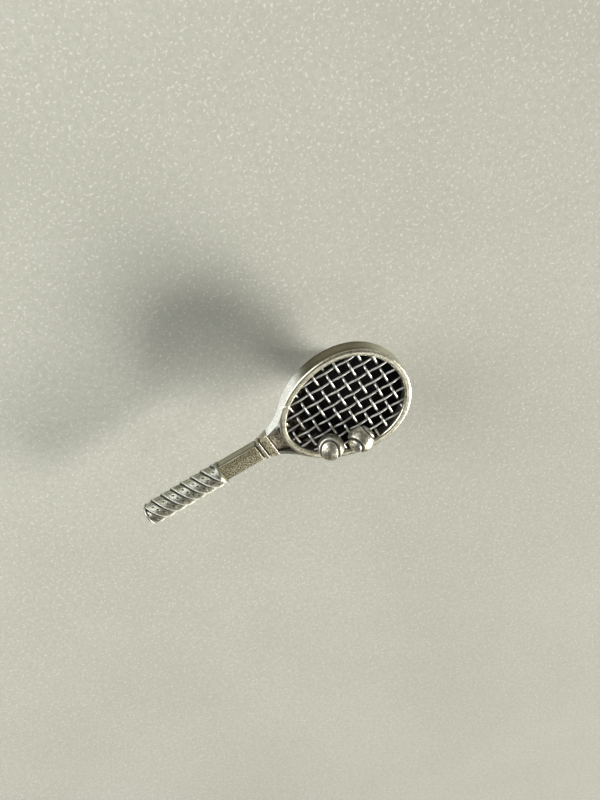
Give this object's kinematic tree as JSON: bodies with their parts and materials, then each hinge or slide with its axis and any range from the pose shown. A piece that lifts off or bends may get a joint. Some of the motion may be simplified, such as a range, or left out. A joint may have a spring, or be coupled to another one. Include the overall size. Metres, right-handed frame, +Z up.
{
  "type": "tie tack",
  "caption": "Tennis racket tie tack in antique silver with balls on woven strings, a pointed post and a locking pull clutch.",
  "frame": {"origin": "on the tack post's axis, where the post leaves the plane of the racket's flat back, under the centre of the head", "axes": "+Z up out of the racket's face, +X from the butt to the tip of the head, +Y across the racket away from the balls; the post points to -Z"},
  "size_m": [0.0444, 0.0168, 0.0146],
  "materials": {
    "frame_silver": "antique silver, sand-blasted casting with burnished edges",
    "throat_oxide": "oxidised, rough brown-black",
    "wire_silver": "silver wire, oxidised in the crossings",
    "ball_silver": "satin antique silver",
    "grip_silver": "antique silver with dark grooves and bright wrap edges",
    "blackened_plate": "chemically blackened",
    "post_steel": "bright drawn steel",
    "clutch_nickel": "bright nickel plate",
    "clutch_brass": "turned brass, unplated inside",
    "spring_steel": "spring wire",
    "ball_steel": "polished bearing steel"
  },
  "bodies": {
    "racket": {"racket_frame": "frame_silver", "throat_inlay": "throat_oxide", "neck_ring": "frame_silver", "neck_band": "frame_silver", "main_strings": "wire_silver", "cross_strings": "wire_silver", "ball_1": "ball_silver", "ball_2": "ball_silver", "grip_sleeve": "grip_silver", "grip_collar": "grip_silver", "butt_cap": "grip_silver", "back_plate": "blackened_plate", "post_pad": "post_steel", "tack_post": "post_steel"},
    "clutch_body": {"clutch_base": "clutch_nickel", "cone_housing": "clutch_brass", "spring_washer": "clutch_brass"},
    "cap_spinner": {"clutch_spring": "spring_steel"},
    "pull_cap": {"ball_carrier": "clutch_brass", "clutch_shell": "clutch_nickel"},
    "lock_ball_1": {"lock_ball_1": "ball_steel"},
    "lock_ball_2": {"lock_ball_2": "ball_steel"},
    "lock_ball_3": {"lock_ball_3": "ball_steel"}
  },
  "joints": [
    {"name": "clutch_slide", "type": "slide", "parent": "racket", "child": "clutch_body", "axis": [0, 0, -1], "range_m": [0, 0.012]},
    {"name": "cap_spin", "type": "hinge", "parent": "clutch_body", "child": "cap_spinner", "pos_m": [0, 0, -0.0058], "axis": [0, 0, -1], "continuous": true},
    {"name": "cap_pull", "type": "slide", "parent": "cap_spinner", "child": "pull_cap", "axis": [0, 0, -1], "range_m": [0, 0.0008], "stiffness_N_per_m": 400, "springref_m": -0.0005, "deforming": ["clutch_spring"]},
    {"name": "lock_ball_1_slide", "type": "slide", "parent": "pull_cap", "child": "lock_ball_1", "axis": [0, 1, 0], "range_m": [0, 0.0002]},
    {"name": "lock_ball_2_slide", "type": "slide", "parent": "pull_cap", "child": "lock_ball_2", "axis": [-0.866, -0.5, 0], "range_m": [0, 0.0002]},
    {"name": "lock_ball_3_slide", "type": "slide", "parent": "pull_cap", "child": "lock_ball_3", "axis": [0.866, -0.5, 0], "range_m": [0, 0.0002]}
  ],
  "couplings": [
    {"joint": "lock_ball_1_slide", "follows": "cap_pull", "ratio": 0.25},
    {"joint": "lock_ball_2_slide", "follows": "cap_pull", "ratio": 0.25},
    {"joint": "lock_ball_3_slide", "follows": "cap_pull", "ratio": 0.25}
  ]
}
